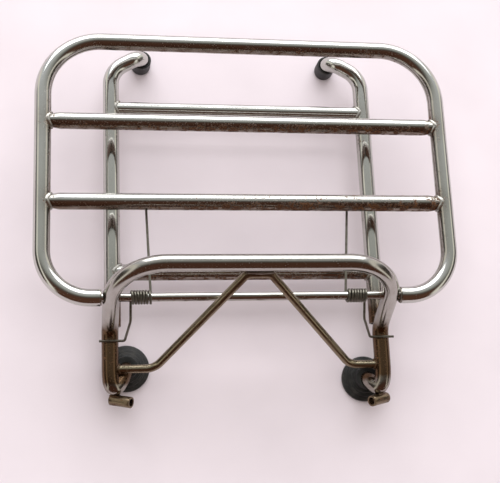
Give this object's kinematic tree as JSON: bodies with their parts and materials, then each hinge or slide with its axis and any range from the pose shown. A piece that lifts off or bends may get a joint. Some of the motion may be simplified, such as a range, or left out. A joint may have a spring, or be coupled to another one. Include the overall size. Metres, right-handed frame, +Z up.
{
  "type": "folding luggage rack",
  "caption": "Sprung folding luggage rack in bent steel tube: a carrier grid hinged on a cross rod through a hooped frame with rubber feet.",
  "frame": {"origin": "on the ground under the middle of the rack, which lies on its feet with the carrier folded", "axes": "+X along the hinge rod, +Y from the hinge towards the top of the folded carrier, +Z upwards"},
  "size_m": [0.408, 0.373, 0.1191],
  "materials": {
    "chrome_tube": "worn chrome plate, pitted with fine rust",
    "dull_steel": "dulled and browned",
    "spring_steel": "dark, oiled",
    "rubber": "matt, dusty",
    "bush_steel": "turned, dull"
  },
  "bodies": {
    "frame": {"hoop_tube": "chrome_tube", "hinge_rod": "chrome_tube", "lower_tie_bar": "chrome_tube", "upper_tie_bar": "chrome_tube", "v_brace": "dull_steel", "left_support_leg": "chrome_tube", "right_support_leg": "chrome_tube", "left_bolt_sleeve": "dull_steel", "right_bolt_sleeve": "dull_steel", "left_disc_foot": "rubber", "right_disc_foot": "rubber", "left_tip_cap": "rubber", "right_tip_cap": "rubber", "left_spring_coil": "spring_steel", "right_spring_coil": "spring_steel"},
    "carrier": {"carrier_loop": "chrome_tube", "upper_crossbar": "chrome_tube", "lower_crossbar": "chrome_tube", "left_hinge_bush": "bush_steel", "right_hinge_bush": "bush_steel", "left_spring_arm": "spring_steel", "right_spring_arm": "spring_steel"}
  },
  "joints": [
    {"name": "carrier_fold", "type": "hinge", "parent": "frame", "child": "carrier", "pos_m": [0, -0.0845, 0.07], "axis": [1, 0, 0], "range_deg": [0, 57], "stiffness_Nm_per_rad": 2.7, "springref_deg": -14.32}
  ]
}
